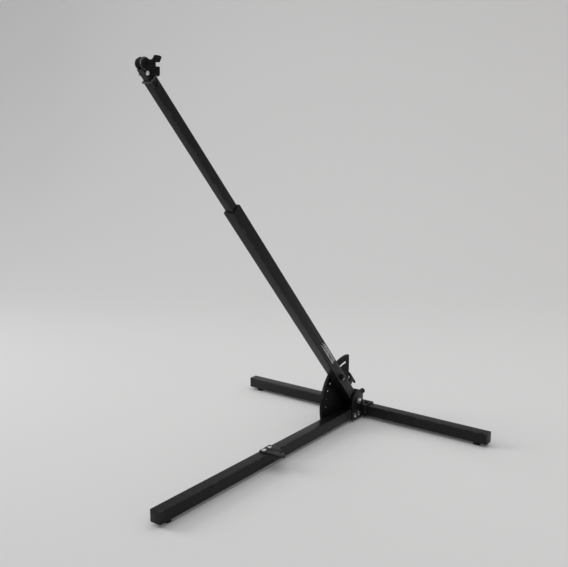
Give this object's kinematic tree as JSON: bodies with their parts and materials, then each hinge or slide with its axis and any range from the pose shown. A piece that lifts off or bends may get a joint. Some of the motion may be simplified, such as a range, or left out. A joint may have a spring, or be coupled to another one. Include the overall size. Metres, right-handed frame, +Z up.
{
  "type": "tilting telescopic mast stand",
  "caption": "Free-standing T-shaped base with a leaning telescopic square-tube mast, a pin-locked quadrant hub and a small rope sheave with a hooked plate at the top.",
  "frame": {"origin": "on the floor, at the centre of the footprint of the T-shaped base", "axes": "+Z up, +Y towards the crossbar at the rear, +X towards the side of the pivot bolt's head; the mast leans towards -Y"},
  "size_m": [1.32, 1.4101, 1.6022],
  "materials": {
    "black_powder_coat": "semi-gloss black powder coat",
    "zinc": "bright zinc plating",
    "dark_washer": "blackened steel",
    "black_plastic": "moulded, satin",
    "rubber": "matt black rubber",
    "pale_plastic": "natural nylon",
    "label": "satin film",
    "bronze": "sintered"
  },
  "bodies": {
    "base": {"crossbar": "black_powder_coat", "front_leg": "black_powder_coat", "crossbar_end_caps": "black_plastic", "leg_end_cap": "black_plastic", "rubber_feet": "rubber", "foot_screws": "zinc", "bar_saddle": "black_powder_coat", "saddle_bolts": "dark_washer", "saddle_nuts": "dark_washer", "near_cheek": "black_powder_coat", "quadrant_plate": "black_powder_coat", "quadrant_rim": "black_powder_coat", "hub_back_plate": "black_powder_coat", "leg_shims": "zinc", "leg_sleeves": "zinc", "leg_bolts": "zinc", "leg_nuts": "zinc", "pivot_bolt": "zinc", "pivot_washers": "dark_washer", "pivot_nut": "zinc", "stop_screw": "dark_washer", "stop_nut": "dark_washer", "lug_plate": "black_powder_coat", "lug_bolts": "zinc", "lug_nuts": "zinc"},
    "lower_mast": {"lower_mast": "black_powder_coat", "pivot_sleeve": "zinc", "thrust_washers": "pale_plastic", "lock_pin_sleeve": "black_powder_coat", "lock_pin_guard": "black_plastic", "guard_screws": "dark_washer", "stop_pad": "rubber", "rope_cleat": "black_powder_coat", "cleat_screws": "dark_washer", "rating_label": "label", "mast_bush": "black_plastic", "bush_screws": "dark_washer", "index_barrel": "zinc"},
    "lock_pin": {"lock_pin": "zinc", "lock_pin_knob": "black_plastic"},
    "index_pin": {"index_pin": "zinc", "index_knob": "black_plastic"},
    "upper_mast": {"upper_mast": "black_powder_coat", "glide_shoe": "pale_plastic", "top_collar": "black_plastic", "neck_block": "black_powder_coat", "neck_bolts": "zinc", "neck_nuts": "zinc", "head_plate_near": "black_powder_coat", "head_plate_far": "black_powder_coat", "sheave_axle": "dark_washer", "axle_clips": "dark_washer", "sheave_spacers": "zinc"},
    "sheave": {"sheave_core": "black_plastic", "sheave_flanges": "black_plastic", "sheave_bearing": "bronze"}
  },
  "joints": [
    {"name": "mast_tilt", "type": "hinge", "parent": "base", "child": "lower_mast", "pos_m": [0, 0.601, 0.1], "axis": [1, 0, 0], "range_deg": [-37.35, 46]},
    {"name": "upper_slide", "type": "slide", "parent": "lower_mast", "child": "upper_mast", "axis": [0, -0.6607, 0.7507], "range_m": [-0.55, 0.2]},
    {"name": "lock_pin_slide", "type": "slide", "parent": "lower_mast", "child": "lock_pin", "axis": [1, 0, 0], "range_m": [-0.0075, 0]},
    {"name": "index_pin_slide", "type": "slide", "parent": "lower_mast", "child": "index_pin", "axis": [1, 0, 0], "range_m": [0, 0.0055]},
    {"name": "sheave_spin", "type": "hinge", "parent": "upper_mast", "child": "sheave", "pos_m": [0, -0.68308, 1.5742], "axis": [1, 0, 0], "continuous": true}
  ]
}
